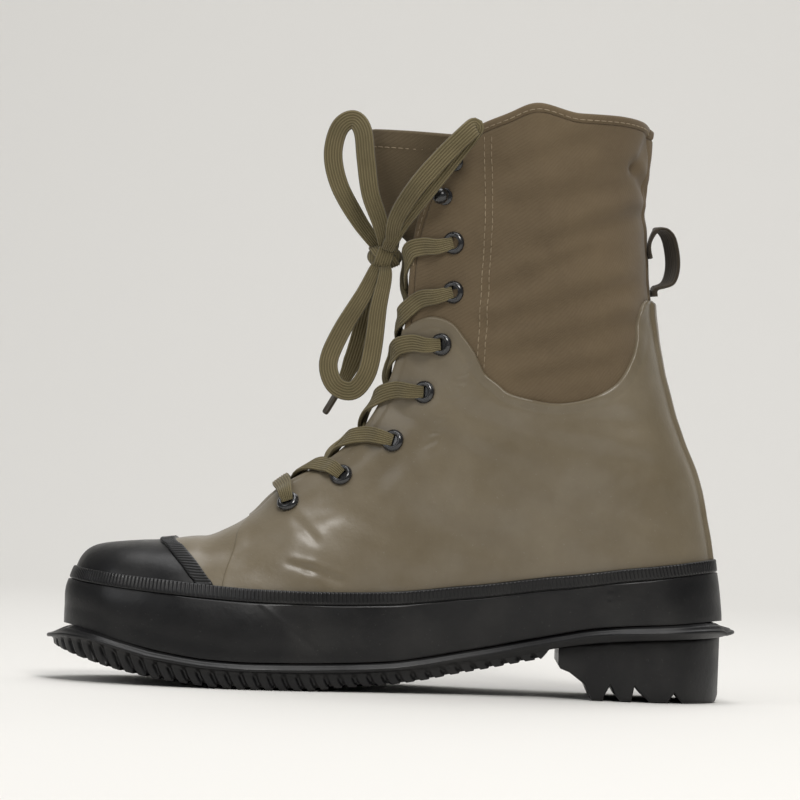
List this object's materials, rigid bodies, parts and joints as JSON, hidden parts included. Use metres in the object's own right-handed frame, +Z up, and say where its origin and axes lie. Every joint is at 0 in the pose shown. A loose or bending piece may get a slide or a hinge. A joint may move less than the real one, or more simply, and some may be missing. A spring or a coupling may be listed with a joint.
{
  "type": "rubber-coated lace-up boot",
  "caption": "Ankle-height lace-up boot: canvas upper with rubber coating, ribbed toe cap and foxing, toothed outsole, block heel, flat laces and ball hooks.",
  "frame": {"origin": "on the floor under the middle of the boot's outline, standing on heel and ball", "axes": "+X towards the heel, -X towards the toe, +Y towards the outer side of the right foot, +Z up"},
  "size_m": [0.3096, 0.1072, 0.2658],
  "materials": {
    "canvas": "brown-olive twill, matte, slightly napped",
    "coated_rubber": "olive rubber coat, soft semi-gloss, fine wrinkles",
    "black_rubber": "black rubber, satin, light dust",
    "lining": "plain woven lining",
    "lace": "khaki flat braid",
    "webbing": "dark narrow webbing",
    "eyelet_metal": "black lacquer, glossy",
    "aglet": "plain smooth tip"
  },
  "bodies": {
    "root": {"back_strip": "coated_rubber", "eyelet_inner_1": "eyelet_metal", "eyelet_inner_2": "eyelet_metal", "eyelet_inner_3": "eyelet_metal", "eyelet_inner_4": "eyelet_metal", "eyelet_inner_5": "eyelet_metal", "eyelet_inner_6": "eyelet_metal", "eyelet_inner_7": "eyelet_metal", "eyelet_outer_1": "eyelet_metal", "eyelet_outer_2": "eyelet_metal", "eyelet_outer_3": "eyelet_metal", "eyelet_outer_4": "eyelet_metal", "eyelet_outer_5": "eyelet_metal", "eyelet_outer_6": "eyelet_metal", "eyelet_outer_7": "eyelet_metal", "foxing": "black_rubber", "foxing_band": "black_rubber", "heel": "black_rubber", "hook_inner_1": "eyelet_metal", "hook_inner_2": "eyelet_metal", "hook_outer_1": "eyelet_metal", "hook_outer_2": "eyelet_metal", "insole": "lining", "lace_aglet": "aglet", "lace_crossing_1": "lace", "lace_crossing_2": "lace", "lace_crossing_3": "lace", "lace_crossing_4": "lace", "lace_crossing_5": "lace", "lace_crossing_6": "lace", "lace_crossing_7": "lace", "lace_end": "lace", "lace_knot": "lace", "lace_loop_back": "lace", "lace_loop_down": "lace", "lace_loop_up": "lace", "outsole": "black_rubber", "pull_loop": "webbing", "quarter_inner": "coated_rubber", "quarter_outer": "coated_rubber", "toe_band": "black_rubber", "toe_cap": "black_rubber", "tongue": "canvas", "upper": "canvas", "vamp": "coated_rubber"}
  },
  "joints": []
}
